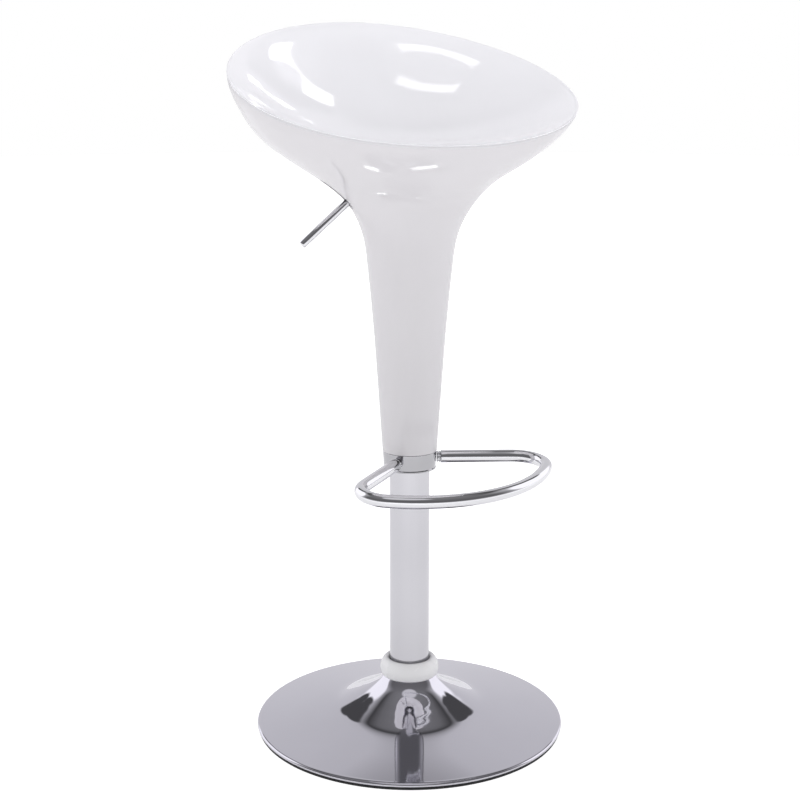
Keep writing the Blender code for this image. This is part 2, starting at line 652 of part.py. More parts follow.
def bent_tube(name, points, r, parent, mat, resolution=3):
    cu = bpy.data.curves.new(name, "CURVE")
    cu.dimensions = "3D"
    sp = cu.splines.new("POLY")
    sp.points.add(len(points) - 1)
    for pt, co in zip(sp.points, points):
        pt.co = (*(co * MM), 1.0)
    cu.bevel_depth = r * MM
    cu.bevel_resolution = resolution
    cu.use_fill_caps = True
    tmp = bpy.data.objects.new(name + "_curve", cu)
    PARTS.objects.link(tmp)
    mesh = baked(tmp)
    bpy.data.objects.remove(tmp, do_unlink=True)
    bm = bmesh.new()
    bm.from_mesh(mesh)
    bmesh.ops.remove_doubles(bm, verts=bm.verts, dist=0.00001)
    bmesh.ops.recalc_face_normals(bm, faces=bm.faces)
    bm.to_mesh(mesh)
    bm.free()
    smooth(mesh, 50)
    return new_object(name, mesh, parent, mat)


bent_tube("footrest_ring", [loop_point(q) for q in full], LOOP_R, LIFT, CHROME)
for name, sign in (("footrest_stub_left", 1), ("footrest_stub_right", -1)):
    end = loop_point(Vector((sign * half[0].x, half[0].y)))
    nxt = loop_point(Vector((sign * half[1].x, half[1].y)))
    d = (end - nxt).normalized()
    new_object(name, aim(rod_mesh(name, 5.4, 4.4, 12), end + d * GAP, d), LIFT, CHROME)
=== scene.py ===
"""Looks for the adjustable swivel stool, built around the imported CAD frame."""

import math

import bmesh
import bpy
import numpy as np
from mathutils import Matrix, Vector


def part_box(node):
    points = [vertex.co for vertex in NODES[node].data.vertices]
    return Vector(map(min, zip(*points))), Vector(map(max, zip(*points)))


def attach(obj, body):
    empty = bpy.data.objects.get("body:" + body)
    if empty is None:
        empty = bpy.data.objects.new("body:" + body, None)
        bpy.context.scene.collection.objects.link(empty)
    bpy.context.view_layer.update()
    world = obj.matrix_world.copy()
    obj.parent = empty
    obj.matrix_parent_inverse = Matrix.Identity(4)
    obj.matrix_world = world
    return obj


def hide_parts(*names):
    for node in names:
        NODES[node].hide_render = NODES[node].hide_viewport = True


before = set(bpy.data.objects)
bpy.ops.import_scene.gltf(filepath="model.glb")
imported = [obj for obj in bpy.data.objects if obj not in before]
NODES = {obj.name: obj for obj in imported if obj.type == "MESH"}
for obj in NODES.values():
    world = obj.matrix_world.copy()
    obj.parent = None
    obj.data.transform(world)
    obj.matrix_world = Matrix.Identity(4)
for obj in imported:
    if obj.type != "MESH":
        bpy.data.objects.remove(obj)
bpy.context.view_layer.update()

MM = 0.001
GAP = 0.3
lo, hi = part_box("outer_column")
AXIS = Vector(((lo.x + hi.x) / 2, (lo.y + hi.y) / 2, 0.0))      # column axis, metres
AX, AY = AXIS.x / MM, AXIS.y / MM

# --------------------------------------------------------------------------
# node helpers for procedural materials
# --------------------------------------------------------------------------


def new_material(name):
    m = bpy.data.materials.new(name)
    m.use_nodes = True
    nt = m.node_tree
    return m, nt, nt.nodes["Principled BSDF"]


def add(nt, kind, **props):
    n = nt.nodes.new(kind)
    for k, v in props.items():
        setattr(n, k, v)
    return n


def noise(nt, scale, detail=3.0, rough=0.5, stretch=None, distortion=0.0):
    tc = add(nt, "ShaderNodeTexCoord")
    src = tc.outputs["Object"]
    if stretch is not None:
        mp = add(nt, "ShaderNodeMapping")
        mp.inputs["Scale"].default_value = stretch
        nt.links.new(src, mp.inputs["Vector"])
        src = mp.outputs["Vector"]
    n = add(nt, "ShaderNodeTexNoise")
    n.inputs["Scale"].default_value = scale
    n.inputs["Detail"].default_value = detail
    n.inputs["Roughness"].default_value = rough
    n.inputs["Distortion"].default_value = distortion
    nt.links.new(src, n.inputs["Vector"])
    return n.outputs["Fac"]


def ramp(nt, src, stops):
    r = add(nt, "ShaderNodeValToRGB")
    while len(r.color_ramp.elements) > 1:
        r.color_ramp.elements.remove(r.color_ramp.elements[-1])
    for i, (pos, col) in enumerate(stops):
        el = r.color_ramp.elements[0] if i == 0 else r.color_ramp.elements.new(pos)
        el.position = pos
        el.color = (*col, 1.0) if len(col) == 3 else col
    nt.links.new(src, r.inputs["Fac"])
    return r.outputs["Color"]


def remap(nt, src, a, b):
    r = add(nt, "ShaderNodeMapRange")
    r.inputs["To Min"].default_value = a
    r.inputs["To Max"].default_value = b
    nt.links.new(src, r.inputs["Value"])
    return r.outputs["Result"]


def bump(nt, bsdf, src, strength, distance, previous=None):
    b = add(nt, "ShaderNodeBump")
    b.inputs["Strength"].default_value = strength
    b.inputs["Distance"].default_value = distance
    nt.links.new(src, b.inputs["Height"])
    if previous is not None:
        nt.links.new(previous, b.inputs["Normal"])
    nt.links.new(b.outputs["Normal"], bsdf.inputs["Normal"])
    return b.outputs["Normal"]


def gloss_abs(name, tint, rough=(0.045, 0.085), coat=0.0):
    """Injection-moulded ABS with a polished tool finish: faint flow mottling,
    a very fine orange peel and a little hairline wear in the gloss."""
    m, nt, p = new_material(name)
    a = tuple(c * 0.985 for c in tint)
    b = tuple(min(1.0, c * 1.01) for c in tint)
    nt.links.new(ramp(nt, noise(nt, 9.0, 2.0, 0.45), [(0.25, a), (0.75, b)]),
                 p.inputs["Base Color"])
    nt.links.new(remap(nt, noise(nt, 38.0, 5.0, 0.6), rough[0], rough[1]),
                 p.inputs["Roughness"])
    p.inputs["IOR"].default_value = 1.46
    p.inputs["Coat Weight"].default_value = coat
    p.inputs["Coat Roughness"].default_value = 0.03
    n1 = bump(nt, p, noise(nt, 260.0, 2.0, 0.5), 0.05, 0.00012)
    bump(nt, p, noise(nt, 34.0, 1.0, 0.4), 0.06, 0.0006, n1)
    return m


def chrome(name, tint, rough=(0.02, 0.06), wave=0.05, stretch=None, scale=22.0):
    """Polished chrome plate: a faint bluish drift, polishing haze and the low
    waviness of the sheet or tube under it."""
    m, nt, p = new_material(name)
    a = tuple(c * 0.97 for c in tint)
    b = tuple(min(1.0, c * 1.02) for c in tint)
    nt.links.new(ramp(nt, noise(nt, 6.0, 3.0, 0.5), [(0.3, a), (0.7, b)]),
                 p.inputs["Base Color"])
    p.inputs["Metallic"].default_value = 1.0
    nt.links.new(remap(nt, noise(nt, 55.0, 6.0, 0.65, stretch), rough[0], rough[1]),
                 p.inputs["Roughness"])
    bump(nt, p, noise(nt, scale, 2.0, 0.4, stretch), wave, 0.0004)
    return m


def satin_metal(name, tint, rough, grain_stretch, grain=0.15, blotch=0.12):
    """Plated or turned metal inside the stool: fine directional grain and the
    cloudy patches of zinc."""
    m, nt, p = new_material(name)
    a = tuple(c * (1 - blotch) for c in tint)
    b = tuple(min(1.0, c * (1 + blotch)) for c in tint)
    nt.links.new(ramp(nt, noise(nt, 60.0, 6.0, 0.6), [(0.3, a), (0.7, b)]),
                 p.inputs["Base Color"])
    p.inputs["Metallic"].default_value = 1.0
    nt.links.new(remap(nt, noise(nt, 140.0, 4.0, 0.6, grain_stretch),
                       rough - 0.08, rough + 0.1), p.inputs["Roughness"])
    bump(nt, p, noise(nt, 400.0, 3.0, 0.6, grain_stretch), grain, 0.0002)
    return m


def soft_black(name, tint, rough, scale, strength, distance=0.0004):
    """Rubber, nylon or sand-cast iron: dark, with a fine moulded texture."""
    m, nt, p = new_material(name)
    a = tuple(c * 0.8 for c in tint)
    b = tuple(c * 1.35 for c in tint)
    nt.links.new(ramp(nt, noise(nt, scale * 0.25, 5.0, 0.6), [(0.3, a), (0.75, b)]),
                 p.inputs["Base Color"])
    nt.links.new(remap(nt, noise(nt, scale * 0.5, 4.0, 0.6), rough - 0.08, rough + 0.08),
                 p.inputs["Roughness"])
    bump(nt, p, noise(nt, scale, 4.0, 0.6), strength, distance)
    return m


def paint_shade_below(mat, factor):
    """Painted shade on the bowl's short skirt, so it matches the trunk under it: the colour of faces that
    don't look up is scaled down."""
    nt = mat.node_tree
    p = nt.nodes["Principled BSDF"]
    base = p.inputs["Base Color"].links[0].from_socket
    tc = add(nt, "ShaderNodeTexCoord")
    sep = add(nt, "ShaderNodeSeparateXYZ")
    nt.links.new(tc.outputs["Normal"], sep.inputs["Vector"])
    r = add(nt, "ShaderNodeMapRange", interpolation_type="SMOOTHSTEP")
    r.inputs["From Min"].default_value = 0.0
    r.inputs["From Max"].default_value = 0.15
    r.inputs["To Min"].default_value = factor
    nt.links.new(sep.outputs["Z"], r.inputs["Value"])
    sc = add(nt, "ShaderNodeVectorMath", operation="SCALE")
    nt.links.new(base, sc.inputs[0])
    nt.links.new(r.outputs["Result"], sc.inputs["Scale"])
    nt.links.new(sc.outputs["Vector"], p.inputs["Base Color"])


M_SEAT = gloss_abs("seat_white_gloss", (0.865, 0.862, 0.890))
# painted shade: the seat's colour is scaled to 0.78 on the skirt's down-facing faces
paint_shade_below(M_SEAT, 0.78)
# painted shade: the trunk is the same white ABS as the seat, but its colour is given darker (0.665
# against 0.865) to stand in for the shade under the bowl
M_TRUNK_PAINTED_SHADE = gloss_abs("trunk_white_painted_shade", (0.665, 0.652, 0.670))
M_TRIM = gloss_abs("trim_white", (0.93, 0.93, 0.938), (0.22, 0.32), 0.0)
M_CHROME = chrome("chrome_bright", (0.78, 0.78, 0.80), (0.008, 0.03))
# painted shade: the collar, base and column are the same chrome plate as the footrest (0.78), given
# darker tints (0.47, 0.68, 0.625) for the darker reflections they show; the base's lilac cast is a
# painted reflection tint
M_COLLAR_PAINTED_SHADE = chrome("chrome_collar_painted_shade", (0.47, 0.468, 0.485), (0.01, 0.04), 0.08, None, 30.0)
M_BASE_PAINTED_SHADE = chrome("chrome_base_painted_shade", (0.68, 0.67, 0.725), (0.03, 0.07), 0.04, None, 9.0)
M_COLUMN_PAINTED_SHADE = chrome("chrome_column_painted_shade", (0.625, 0.62, 0.65), (0.04, 0.09), 0.12,
                  (1.0, 1.0, 0.05), 60.0)
M_STEEL = satin_metal("zinc_steel", (0.56, 0.57, 0.60), 0.34, (1.0, 1.0, 0.15))
M_BRASS = satin_metal("turned_brass", (0.68, 0.52, 0.26), 0.28, (0.2, 0.2, 1.0))
M_NYLON = soft_black("black_nylon", (0.030, 0.030, 0.033), 0.42, 300.0, 0.2)
M_RUBBER = soft_black("black_rubber", (0.018, 0.018, 0.019), 0.66, 420.0, 0.45)
M_IRON = soft_black("cast_iron_black", (0.045, 0.045, 0.048), 0.55, 180.0, 0.7, 0.0010)

CARRIED = {
    "base_weight": M_IRON, "base_socket": M_STEEL, "column_guide_bush": M_NYLON,
    "column_end_plate": M_STEEL, "bearing_lower_race": M_STEEL, "bearing_cage": M_BRASS,
    "bearing_upper_race": M_STEEL, "bump_stop": M_RUBBER, "piston_rod": M_CHROME,
    "piston": M_BRASS, "rod_clip": M_STEEL, "pressure_tube": M_STEEL,
    "tube_gland": M_NYLON, "valve_body": M_BRASS, "valve_pin": M_STEEL,
    "cylinder_socket": M_STEEL, "mechanism_plate": M_STEEL, "lever_bracket": M_STEEL,
    "lever_pivot_pin": M_STEEL, "lever_rocker": M_STEEL, "support_tube": M_STEEL,
    "collar_bush": M_NYLON, "plate_screw_1": M_STEEL, "plate_screw_2": M_STEEL,
    "plate_screw_3": M_STEEL, "plate_screw_4": M_STEEL,
}
for n, mat in CARRIED.items():
    me = NODES[n].data
    me.materials.clear()
    me.materials.append(mat)

# --------------------------------------------------------------------------
# mesh helpers; outlines and points are in millimetres from the column axis
# --------------------------------------------------------------------------


def finish_mesh(name, verts, faces, mat, body, replaced, sharp=40.0):
    me = bpy.data.meshes.new(name)
    me.from_pydata([((x + AX) * MM, (y + AY) * MM, z * MM) for x, y, z in verts], [],
                   faces)
    me.update()
    bm = bmesh.new()
    bm.from_mesh(me)
    bmesh.ops.remove_doubles(bm, verts=bm.verts, dist=1e-7)
    bmesh.ops.recalc_face_normals(bm, faces=bm.faces)
    bm.to_mesh(me)
    bm.free()
    me.shade_smooth()
    me.set_sharp_from_angle(angle=math.radians(sharp))
    me.materials.append(mat)
    ob = bpy.data.objects.new(name, me)
    bpy.context.scene.collection.objects.link(ob)
    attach(ob, body)
    if replaced:
        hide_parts(*replaced)
    return ob


def lathe(name, outline, segs, mat, body, replaced, sharp=40.0):
    """Turned ring from a closed (r, z) outline; r = 0 points become poles."""
    verts, faces = [], []
    rows = []
    for r, z in outline:
        if r < 1e-6:
            rows.append([len(verts)] * segs)
            verts.append((0.0, 0.0, z))
        else:
            rows.append(list(range(len(verts), len(verts) + segs)))
            for i in range(segs):
                a = 2 * math.pi * i / segs
                verts.append((r * math.cos(a), r * math.sin(a), z))
    n = len(outline)
    closed = outline[0][0] > 1e-6
    for k in range(n if closed else n - 1):
        a, b = rows[k], rows[(k + 1) % n]
        for i in range(segs):
            j = (i + 1) % segs
            quad = []
            for v in (a[i], a[j], b[j], b[i]):
                if v not in quad:
                    quad.append(v)
            if len(quad) > 2:
                faces.append(quad)
    return finish_mesh(name, verts, faces, mat, body, replaced, sharp)


def rounded(points, radii, steps=5):
    """A (r, z) outline with each corner rounded by its own radius."""
    out = []
    n = len(points)
    for i in range(n):
        p0, p1, p2 = points[i - 1], points[i], points[(i + 1) % n]
        rad = radii[i]
        a = Vector((p0[0] - p1[0], p0[1] - p1[1]))
        b = Vector((p2[0] - p1[0], p2[1] - p1[1]))
        if rad <= 0 or a.length < 1e-6 or b.length < 1e-6:
            out.append(p1)
            continue
        ang = a.angle(b)
        if ang > math.pi - 0.05:
            out.append(p1)
            continue
        cut = min(rad / math.tan(ang / 2), a.length * 0.48, b.length * 0.48)
        rad = cut * math.tan(ang / 2)
        a.normalize()
        b.normalize()
        c = Vector(p1) + (a + b).normalized() * (rad / math.sin(ang / 2))
        s = Vector(p1) + a * cut - c
        e = Vector(p1) + b * cut - c
        a0 = math.atan2(s.y, s.x)
        d = (math.atan2(e.y, e.x) - a0 + math.pi) % (2 * math.pi) - math.pi
        for k in range(steps + 1):
            t = a0 + d * k / steps
            out.append((c.x + rad * math.cos(t), c.y + rad * math.sin(t)))
    return out


def spline(xs, ys, x):
    """Natural cubic spline, vectorised."""
    xs, ys = np.asarray(xs, float), np.asarray(ys, float)
    n = len(xs)
    h = np.diff(xs)
    A = np.zeros((n, n))
    r = np.zeros(n)
    A[0, 0] = A[-1, -1] = 1
    for i in range(1, n - 1):
        A[i, i - 1], A[i, i], A[i, i + 1] = h[i - 1], 2 * (h[i - 1] + h[i]), h[i]
        r[i] = 6 * ((ys[i + 1] - ys[i]) / h[i] - (ys[i] - ys[i - 1]) / h[i - 1])
    m = np.linalg.solve(A, r)
    x = np.clip(np.asarray(x, float), xs[0], xs[-1])
    i = np.clip(np.searchsorted(xs, x) - 1, 0, n - 2)
    t0, t1 = xs[i + 1] - x, x - xs[i]
    return (m[i] * t0 ** 3 / (6 * h[i]) + m[i + 1] * t1 ** 3 / (6 * h[i])
            + (ys[i] / h[i] - m[i] * h[i] / 6) * t0
            + (ys[i + 1] / h[i] - m[i + 1] * h[i] / 6) * t1)


# --------------------------------------------------------------------------
# seat: the CAD's rim, flare and trunk at a fine pitch
# --------------------------------------------------------------------------
SEAT_W, SEAT_L = 426.0, 378.0
RIM_Y, RIM_Z, RIM_SLOPE = 29.0, 804.9, 0.349
RIM_EGG, RIM_BEND = -0.046, -10.4
DIP_Y, DIP_Z = 2.0, 737.5
FLARE_Z0, TRUNK_Z0 = 600.0, 365.3
PAN_WALL, TRUNK_WALL = 3.2, 3.0
FX = [0, 0.08, 0.18, 0.30, 0.45, 0.60, 0.75, 0.88, 1]
FY = [0, 0.024, 0.104, 0.222, 0.487, 0.772, 0.92, 0.98, 1]
LY = [0, 0.05, 0.13, 0.25, 0.31, 0.11, 0.03, 0.003, 0]
NT = 192
TH = 2 * np.pi * np.arange(NT) / NT


def rim(t):
    c, s = np.cos(t), np.sin(t)
    x = SEAT_W / 2 * c * (1 + RIM_EGG * s)
    y = RIM_Y + SEAT_L / 2 * s + RIM_BEND * (c * c - 0.5)
    return np.stack([x, y, RIM_Z + RIM_SLOPE * y], -1)


def trunk_radius(z):
    d = z - TRUNK_Z0
    return 34.0 + 0.066 * d + 2.75 * (d / 234.7) ** 4


def flare(t, h):
    """Points on the outside of the flare; t and h broadcast together."""
    r = rim(t)
    s = np.sin(t)
    lean = np.where(s < 0, -s, -s * (1 - 0.5 * s))
    w = spline(FX, FY, h) + lean * spline(FX, LY, h)
    rn = trunk_radius(FLARE_Z0)
    return np.stack([(1 - w) * r[..., 0] + w * rn * np.cos(t),
                     (1 - w) * r[..., 1] + w * rn * s,
                     (1 - h) * r[..., 2] + h * FLARE_Z0], -1)


def smooth_rows(P, first, last, sigma, keep_z=False):
    """Blur rows first..last of a grid of points along the rows' direction."""
    n = P.shape[0]
    k = int(3 * sigma)
    w = np.exp(-0.5 * (np.arange(-k, k + 1) / sigma) ** 2)
    w /= w.sum()
    pad = np.concatenate([2 * P[:1] - P[k:0:-1], P, 2 * P[-1:] - P[-2:-k - 2:-1]], 0)
    Q = sum(w[i] * pad[i:i + n] for i in range(2 * k + 1))
    out = P.copy()
    idx = np.arange(n)
    m = np.clip(np.minimum(idx - first, last - idx) / (2.0 * sigma), 0, 1)[:, None, None]
    out = P * (1 - m) + Q * m
    return out


def normals(P):
    """Unit normals of a grid of points, rows along the first axis, round the second."""
    du = np.gradient(P, axis=0)
    dv = (np.roll(P, -1, 1) - np.roll(P, 1, 1)) / 2
    n = np.cross(dv, du)
    return n / np.maximum(np.linalg.norm(n, axis=2, keepdims=True), 1e-9)


def lip_depth(t):
    return 1.9 + 0.5 * (1 + np.sin(t))


def outer_grid(t):
    """The whole outside from the rim to the collar: rows of points."""
    drop = rim(t)[:, 2] - FLARE_Z0
    h = np.linspace(0, 1, 96)[:, None] * np.ones_like(t)[None]
    top = flare(np.broadcast_to(t, h.shape), h)
    zs = np.linspace(FLARE_Z0, TRUNK_Z0, 80)[1:]
    r = trunk_radius(zs)[:, None]
    low = np.stack([r * np.cos(t), r * np.sin(t), zs[:, None] * np.ones_like(t)], -1)
    P = np.concatenate([top, low], 0)
    return smooth_rows(P, 0, len(P) - 1, 4.0)


OUT = outer_grid(TH)
OUT_N = normals(OUT)
if (OUT_N[20, 0] * np.array([1, 0, 0])).sum() < 0:
    OUT_N = -OUT_N


def row_at(P, t_index_depth):
    """For each column of the grid, the point at a given depth below the rim."""
    out = np.zeros((P.shape[1], 3))
    for j in range(P.shape[1]):
        z = P[:, j, 2]
        target = P[0, j, 2] - t_index_depth[j]
        i = int(np.argmax(z <= target))
        i = max(i, 1)
        f = (z[i - 1] - target) / max(z[i - 1] - z[i], 1e-9)
        out[j] = P[i - 1, j] * (1 - f) + P[i, j] * f
    return out


def resample(P, start_depth, rows):
    """Rows of points down each column, starting at a depth below the rim."""
    out = np.zeros((rows, P.shape[1], 3))
    for j in range(P.shape[1]):
        col = P[:, j]
        seg = np.linalg.norm(np.diff(col, axis=0), axis=1)
        s = np.concatenate([[0], np.cumsum(seg)])
        z = col[:, 2]
        s0 = np.interp(-(z[0] - start_depth[j]), -z, s)
        u = np.linspace(s0, s[-1], rows)
        for k in range(3):
            out[:, j, k] = np.interp(u, s, col[:, k])
    return out


# sitting surface: shallow dip, steep wall at the back, softly rolled lip
GX = [0, 0.12, 0.25, 0.38, 0.50, 0.62, 0.74, 0.86, 0.94, 1.0]
GY = [0, 0.010, 0.042, 0.103, 0.203, 0.340, 0.540, 0.792, 0.935, 1.0]


def bowl(t, k):
    r = rim(t)
    dx, dy = r[..., 0], r[..., 1] - DIP_Y
    L = np.sqrt(dx * dx + dy * dy)
    f = 1 - 2.6 / L
    s = np.sin(t)
    dish = k ** (2.6 + 0.3 * s)
    rolled = spline(GX, GY, k)
    m = 0.5 + 0.5 * s
    g = dish * (1 - m) + rolled * m
    return np.stack([dx * f * k, DIP_Y + dy * f * k,
                     DIP_Z + (r[..., 2] - 0.9 - DIP_Z) * g], -1)


def grid_faces(rows, n, first=0, closed=False):
    f = []
    for a in range(rows - 1 + (1 if closed else 0)):
        b = (a + 1) % rows
        for i in range(n):
            j = (i + 1) % n
            f.append((first + a * n + i, first + a * n + j,
                      first + b * n + j, first + b * n + i))
    return f


def build_pan():
    ks = np.concatenate([np.linspace(0.02, 0.96, 60), [0.975, 0.988, 1.0]])
    top = bowl(np.broadcast_to(TH, (len(ks), NT)), np.broadcast_to(ks[:, None], (len(ks), NT)))
    edge = top[-1]
    out0 = rim(TH)
    depth = lip_depth(TH)
    # crest: a small round from the sitting surface over to the outside
    inward = edge - out0
    inward[:, 2] = 0
    inward /= np.linalg.norm(inward, axis=1, keepdims=True)
    up = np.array([0, 0, 1.0])
    crest = [out0 + inward * i + up * z for i, z in (
        (2.15, -0.52), (1.65, -0.20), (1.15, -0.04), (0.72, -0.05), (0.38, -0.22),
        (0.14, -0.52))]
    skirt = [row_at(OUT, 0 * depth + 0.95), row_at(OUT, 0 * depth + 1.35),
             row_at(OUT, depth - 0.12)]
    foot = row_at(OUT, depth)
    skirt.append(foot + inward * 0.35)
    # underside: sitting surface moved down by the wall, up to the lip's foot
    N = normals(top)
    N = np.where(N[..., 2:3] > 0, -N, N)
    under = top + N * PAN_WALL
    rows = []
    for f in np.linspace(1.0, 0.03, 40):
        rows.append(f)
    U = np.zeros((len(rows), NT, 3))
    for j in range(NT):
        z = under[:, j, 2]
        target = out0[j, 2] - depth[j]
        k1 = np.interp(target, z, ks)
        for a, f in enumerate(rows):
            for c in range(3):
                U[a, j, c] = np.interp(k1 * f, ks, under[:, j, c])
    grid = np.concatenate([top, np.array(crest), np.array(skirt), U], 0)
    verts = [tuple(v) for v in grid.reshape(-1, 3)]
    faces = grid_faces(len(grid), NT)
    verts.append((0, DIP_Y, DIP_Z))
    verts.append((0, DIP_Y, DIP_Z - PAN_WALL))
    a, b, last = len(verts) - 2, len(verts) - 1, (len(grid) - 1) * NT
    for i in range(NT):
        j = (i + 1) % NT
        faces.append((a, j, i))
        faces.append((b, last + i, last + j))
    return finish_mesh("seat_bowl_shell", verts, faces, M_SEAT, "seat", ["seat_pan"], 50)


pan = build_pan()


def build_trunk():
    depth = lip_depth(TH) + 0.12
    outer = resample(OUT, depth, 150)
    N = normals(outer)
    if (N[20, 0] * np.array([1, 0, 0])).sum() < 0:
        N = -N
    inner = outer - N * TRUNK_WALL
    inner[0] = outer[0] - np.concatenate([N[0, :, :2], np.zeros((NT, 1))], 1) \
        / np.linalg.norm(N[0, :, :2], axis=1, keepdims=True) * TRUNK_WALL
    inner[-1, :, 2] = TRUNK_Z0
    pick = list(range(0, 150, 3)) + [149]
    inner = inner[pick][::-1]
    grid = np.concatenate([outer, inner], 0)
    faces = grid_faces(len(grid), NT, closed=True)
    return finish_mesh("seat_trunk_shell", [tuple(v) for v in grid.reshape(-1, 3)], faces,
                       M_TRUNK_PAINTED_SHADE, "seat", ["seat_trunk"], 50)


trunk = build_trunk()

# lever slot through the flare
SLOT_LOW, SLOT_HIGH, SLOT_W = Vector((-69.5, 0, 673.0)), Vector((-113.0, 0, 704.0)), 14.0
run = (SLOT_HIGH - SLOT_LOW).normalized()
out_dir = Vector((run.z, 0, -run.x))
if out_dir.z > 0:
    out_dir = -out_dir
r = SLOT_W / 2
outline = []
for centre, sign in ((SLOT_LOW + run * r, -1), (SLOT_HIGH - run * r, 1)):
    for i in range(17):
        a = -math.pi / 2 + math.pi * i / 16
        outline.append(centre + run * (sign * r * math.cos(a))
                       + Vector((0, sign * r * math.sin(a), 0)))
bm = bmesh.new()
off = Vector((AX, AY, 0))
face = bm.faces.new([bm.verts.new((p + off - out_dir * 14) * MM) for p in outline])
ext = bmesh.ops.extrude_face_region(bm, geom=[face])
bmesh.ops.translate(bm, verts=[v for v in ext["geom"] if isinstance(v, bmesh.types.BMVert)],
                    vec=out_dir * 30 * MM)
bmesh.ops.recalc_face_normals(bm, faces=bm.faces)
cut_mesh = bpy.data.meshes.new("slot_cut")
bm.to_mesh(cut_mesh)
bm.free()
cutter = bpy.data.objects.new("slot_cut", cut_mesh)
bpy.context.scene.collection.objects.link(cutter)
mod = trunk.modifiers.new("Slot", "BOOLEAN")
mod.operation = "DIFFERENCE"
mod.solver = "EXACT"
mod.object = cutter
bpy.context.view_layer.update()
dg = bpy.context.evaluated_depsgraph_get()
cut = bpy.data.meshes.new_from_object(trunk.evaluated_get(dg), depsgraph=dg)
trunk.modifiers.clear()
old = trunk.data
trunk.data = cut
cut.materials.clear()
cut.materials.append(M_TRUNK_PAINTED_SHADE)
for p in cut.polygons:
    p.material_index = 0
bpy.data.meshes.remove(old)
bpy.data.objects.remove(cutter, do_unlink=True)
cut.shade_smooth()
cut.set_sharp_from_angle(angle=math.radians(50))

# --------------------------------------------------------------------------
# base, hub and column
# --------------------------------------------------------------------------
NECK_R, NECK_Z = 34.0, 67.7
PROFILE = [(NECK_R, NECK_Z), (34.8, 66.5), (36.2, 64.3), (38.3, 61.2), (41.0, 58.0),
           (44.5, 54.7), (48.5, 51.6), (53.0, 48.5), (58.0, 45.4), (64.0, 42.1),
           (70.0, 38.9), (76.0, 35.9), (82.0, 33.0), (87.0, 30.7), (91.5, 28.8),
           (96.0, 27.3), (101.0, 26.0), (110.0, 24.1), (120.0, 22.2), (150.0, 16.7),
           (180.0, 11.1), (191.0, 9.0)]
s_in = [0]
for a, b in zip(PROFILE, PROFILE[1:]):
    s_in.append(s_in[-1] + math.hypot(b[0] - a[0], b[1] - a[1]))
u = np.linspace(0, s_in[-1], 150)
fr = spline(s_in, [p[0] for p in PROFILE], u)
fz = spline(s_in, [p[1] for p in PROFILE], u)
disc = list(zip(fr, fz))
edge = [(193.4, 8.75), (194.9, 8.1), (195.8, 7.0), (196.0, 5.9), (195.7, 4.8),
        (195.0, 4.0), (194.2, 3.6), (193.4, 3.6), (192.6, 4.3)]
tn = np.gradient(np.array(disc), axis=0)
tn /= np.linalg.norm(tn, axis=1, keepdims=True)
inner = [(r_ + t_[1] * 1.9, z_ - t_[0] * 1.9) for (r_, z_), t_ in zip(disc, tn)][::-3]
inner = [p for p in inner if p[0] < 190.5]
inner.append((32.0, NECK_Z))
lathe("base_trumpet", disc + edge + inner, 256, M_BASE_PAINTED_SHADE, "base", ["base_cover"], 50)

ring_pts = [(189.4, 6.0), (189.7, 3.1), (194.2, 2.8), (194.2, 0.0), (178.0, 0.0),
            (178.0, 3.0), (186.6, 3.2), (187.0, 6.0)]
lathe("base_edge_ring", rounded(ring_pts, [0.4, 0.0, 0.6, 0.7, 0.7, 0.5, 0.3, 0.4], 3), 256,
      M_RUBBER, "base", ["base_floor_ring"], 50)

hub = [(27.6, 90.6), (29.4, 91.0), (31.6, 90.2), (34.0, 87.9), (35.9, 84.6), (37.0, 80.6),
       (37.4, 76.6), (37.1, 72.8), (36.2, 69.8), (34.6, 68.1), (33.0, 68.0)]
hs = [0]
for a, b in zip(hub, hub[1:]):
    hs.append(hs[-1] + math.hypot(b[0] - a[0], b[1] - a[1]))
hu = np.linspace(0, hs[-1], 40)
hub_out = list(zip(spline(hs, [p[0] for p in hub], hu), spline(hs, [p[1] for p in hub], hu)))
hub_out += [(25.8, 68.0), (25.6, 86.2), (26.1, 88.6), (26.8, 89.9)]
lathe("hub_ring", hub_out, 128, M_TRIM, "base", ["hub_trim_ring"], 50)

col = rounded([(25.0, 402.0), (25.0, 400.0), (25.0, 300.0), (25.0, 180.0), (25.0, 90.0),
               (25.0, 62.0), (25.0, 60.0), (24.2, 12.0), (22.6, 12.0), (23.5, 60.0),
               (23.5, 402.0)], [0.9, 0, 0, 0, 0, 0, 0, 0.3, 0.3, 0, 0.2], 4)
lathe("column_tube", col, 128, M_COLUMN_PAINTED_SHADE, "base", ["outer_column"], 50)

# --------------------------------------------------------------------------
# collar, footrest and lever
# --------------------------------------------------------------------------
collar = rounded([(28.4, 384.0), (30.4, 384.0), (30.4, 365.0), (33.6, 365.0), (33.55, 363.8),
                  (32.55, 345.6), (32.30, 344.9), (32.95, 343.7), (32.9, 342.3), (28.4, 342.3)],
                 [0.2, 0.4, 0.1, 0.5, 0, 0, 0.15, 0.3, 0.5, 0.3], 5)
lathe("collar_ring", collar, 128, M_COLLAR_PAINTED_SHADE, "seat", ["footrest_collar"], 50)

